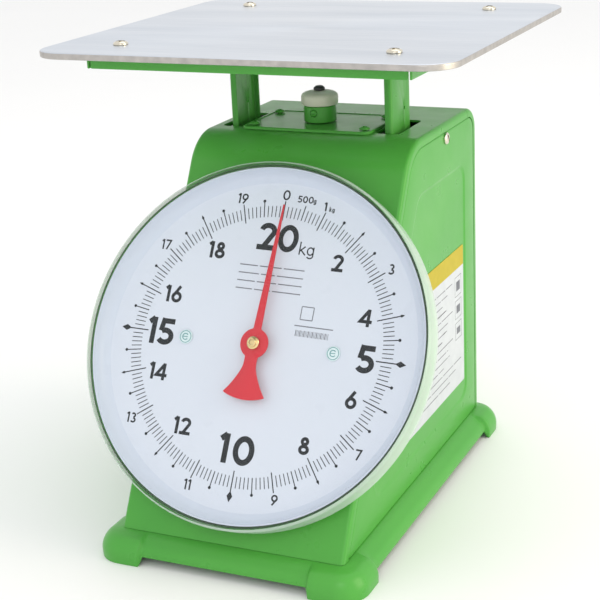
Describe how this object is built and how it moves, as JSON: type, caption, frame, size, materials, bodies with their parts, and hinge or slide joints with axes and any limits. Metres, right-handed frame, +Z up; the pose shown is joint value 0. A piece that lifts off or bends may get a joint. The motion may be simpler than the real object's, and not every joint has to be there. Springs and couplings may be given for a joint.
{
  "type": "mechanical dial platform scale",
  "caption": "Spring scale with a sloping round dial on a green steel housing, a flat steel tray on two legs above it, and a zero-adjusting knob.",
  "frame": {"origin": "on the ground, under the middle of the object's overall box", "axes": "+Z up, and the dial faces -Y and leans back; +X is to the right of someone reading the dial"},
  "size_m": [0.2868, 0.3359, 0.3223],
  "materials": {
    "green_enamel": "gloss baked enamel",
    "stainless_steel": "satin",
    "nickel": "bright nickel plate",
    "zinc_steel": "zinc plated",
    "spring_steel": "oiled wire",
    "brass": "machined",
    "ivory_plastic": "satin moulded",
    "black_plastic": "satin",
    "dial_white": "printed semi-gloss",
    "pointer_red": "semi-gloss",
    "clear_plastic": "clear moulded",
    "label_film": "printed film"
  },
  "bodies": {
    "chassis": {"base": "green_enamel", "front_top_cover": "green_enamel", "rear_cover": "green_enamel", "left_side_panel": "green_enamel", "right_side_panel": "green_enamel", "top_plate": "green_enamel", "top_plate_screw_1": "green_enamel", "top_plate_screw_2": "green_enamel", "top_plate_screw_3": "green_enamel", "top_plate_screw_4": "green_enamel", "zero_collar": "green_enamel", "zero_set_screw": "green_enamel", "dial_case": "green_enamel", "base_screw_1": "zinc_steel", "base_screw_2": "zinc_steel", "base_screw_3": "zinc_steel", "base_screw_4": "zinc_steel", "left_side_screw": "nickel", "right_side_screw": "nickel", "side_label": "label_film", "left_upright": "zinc_steel", "right_upright": "zinc_steel", "upper_link_shaft": "zinc_steel", "lower_link_shaft": "zinc_steel", "movement_bracket": "zinc_steel", "bracket_screw_1": "nickel", "bracket_screw_2": "nickel", "dial_plate": "dial_white", "left_dial_spacer": "zinc_steel", "right_dial_spacer": "zinc_steel", "left_dial_screw": "zinc_steel", "right_dial_screw": "zinc_steel", "dial_cover": "clear_plastic"},
    "load_frame": {"tray": "stainless_steel", "tray_screw_1": "nickel", "tray_screw_2": "nickel", "tray_screw_3": "nickel", "tray_screw_4": "nickel", "tray_frame": "green_enamel", "left_leg": "green_enamel", "right_leg": "green_enamel", "upper_load_bar": "zinc_steel", "lower_load_bar": "zinc_steel", "upper_load_pin": "zinc_steel", "lower_load_pin": "zinc_steel", "rack_arm": "zinc_steel", "rack": "brass"},
    "pointer": {"pinion_spindle": "brass", "pointer": "pointer_red", "pointer_nut": "brass"},
    "upper_link": {"upper_link": "zinc_steel"},
    "lower_link": {"lower_link": "zinc_steel"},
    "zero_knob": {"zero_knob": "ivory_plastic", "zero_knob_screw": "black_plastic", "zero_lead_screw": "zinc_steel"},
    "spring_hanger": {"spring_hanger": "zinc_steel", "left_spring": "spring_steel", "right_spring": "spring_steel"}
  },
  "joints": [
    {"name": "platform_travel", "type": "slide", "parent": "chassis", "child": "load_frame", "axis": [0, 0, -1], "range_m": [0, 0.0217], "stiffness_N_per_m": 9040, "springref_m": -0.0022, "deforming": ["left_spring", "right_spring"]},
    {"name": "pointer_turn", "type": "hinge", "parent": "chassis", "child": "pointer", "pos_m": [0.0099, -0.0961, 0.1342], "axis": [0, 0.8686, -0.4955], "range_deg": [0, 360]},
    {"name": "upper_link_swing", "type": "hinge", "parent": "chassis", "child": "upper_link", "pos_m": [0.0044, 0.1002, 0.18315], "axis": [1, 0, 0], "range_deg": [0, 26.02]},
    {"name": "lower_link_swing", "type": "hinge", "parent": "chassis", "child": "lower_link", "pos_m": [0.0044, 0.1002, 0.07915], "axis": [1, 0, 0], "range_deg": [0, 26.02]},
    {"name": "zero_knob_turn", "type": "hinge", "parent": "chassis", "child": "zero_knob", "pos_m": [0.0044, 0.0292, 0.272], "axis": [0, 0, 1], "range_deg": [-360, 360]},
    {"name": "spring_hanger_lift", "type": "slide", "parent": "chassis", "child": "spring_hanger", "axis": [0, 0, 1], "range_m": [-0.001, 0.001]}
  ],
  "couplings": [
    {"joint": "pointer_turn", "follows": "platform_travel", "rad_per_m": 289.54},
    {"joint": "upper_link_swing", "follows": "platform_travel", "rad_per_m": 20.91},
    {"joint": "lower_link_swing", "follows": "platform_travel", "rad_per_m": 20.91},
    {"joint": "spring_hanger_lift", "follows": "zero_knob_turn", "m_per_rad": 0.00015915}
  ]
}
